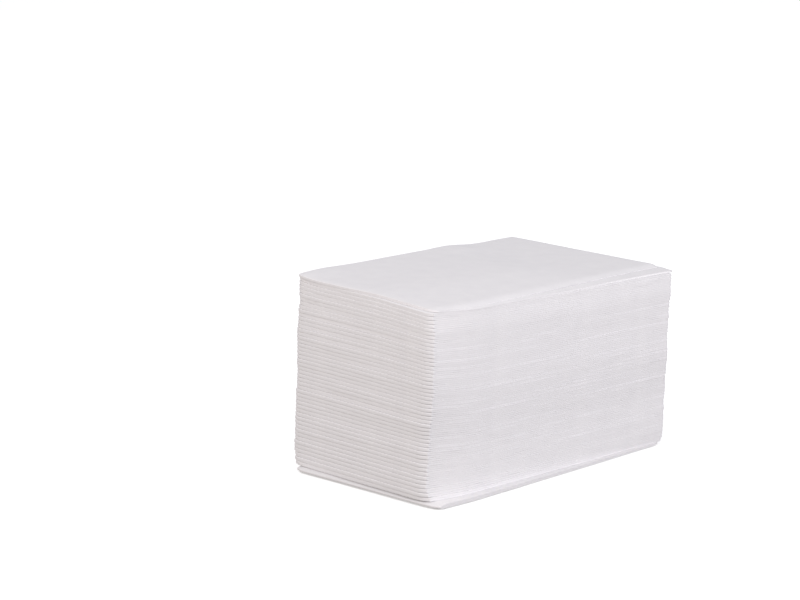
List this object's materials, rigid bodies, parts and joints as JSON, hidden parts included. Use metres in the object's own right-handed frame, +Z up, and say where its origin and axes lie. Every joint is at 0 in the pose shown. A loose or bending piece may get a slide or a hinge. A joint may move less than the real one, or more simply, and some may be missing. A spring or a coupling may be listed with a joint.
{
  "type": "stack of disposable face towels",
  "caption": "Neat pile of disposable face towels in soft white nonwoven, letter-folded and then folded across, taken one at a time from the top.",
  "frame": {"origin": "on the table, under the middle of the pile's bounding box", "axes": "+Z up; +X along the towels, from the folded noses towards the loose ends; +Y across them, from the closed letter folds towards the loose plies"},
  "size_m": [0.2326, 0.147, 0.129],
  "materials": {
    "soft_nonwoven": "matt, softly fibrous white"
  },
  "bodies": {
    "root": {"towel_01": "soft_nonwoven", "towel_02": "soft_nonwoven", "towel_03": "soft_nonwoven", "towel_04": "soft_nonwoven", "towel_05": "soft_nonwoven", "towel_06": "soft_nonwoven", "towel_07": "soft_nonwoven", "towel_08": "soft_nonwoven", "towel_09": "soft_nonwoven", "towel_10": "soft_nonwoven", "towel_11": "soft_nonwoven", "towel_12": "soft_nonwoven", "towel_13": "soft_nonwoven", "towel_14": "soft_nonwoven", "towel_15": "soft_nonwoven", "towel_16": "soft_nonwoven", "towel_17": "soft_nonwoven", "towel_18": "soft_nonwoven", "towel_19": "soft_nonwoven", "towel_20": "soft_nonwoven", "towel_21": "soft_nonwoven", "towel_22": "soft_nonwoven", "towel_23": "soft_nonwoven", "towel_24": "soft_nonwoven", "towel_25": "soft_nonwoven", "towel_26": "soft_nonwoven", "towel_27": "soft_nonwoven", "towel_28": "soft_nonwoven", "towel_29": "soft_nonwoven", "towel_30": "soft_nonwoven", "towel_31": "soft_nonwoven", "towel_32": "soft_nonwoven", "towel_33": "soft_nonwoven", "towel_34": "soft_nonwoven", "towel_35": "soft_nonwoven", "towel_36": "soft_nonwoven", "towel_37": "soft_nonwoven", "towel_38": "soft_nonwoven", "towel_39": "soft_nonwoven", "towel_40": "soft_nonwoven", "towel_41": "soft_nonwoven", "towel_42": "soft_nonwoven", "towel_43": "soft_nonwoven", "towel_44": "soft_nonwoven", "towel_45": "soft_nonwoven", "towel_46": "soft_nonwoven", "towel_47": "soft_nonwoven", "towel_48": "soft_nonwoven", "towel_49": "soft_nonwoven", "towel_50": "soft_nonwoven"}
  },
  "joints": []
}
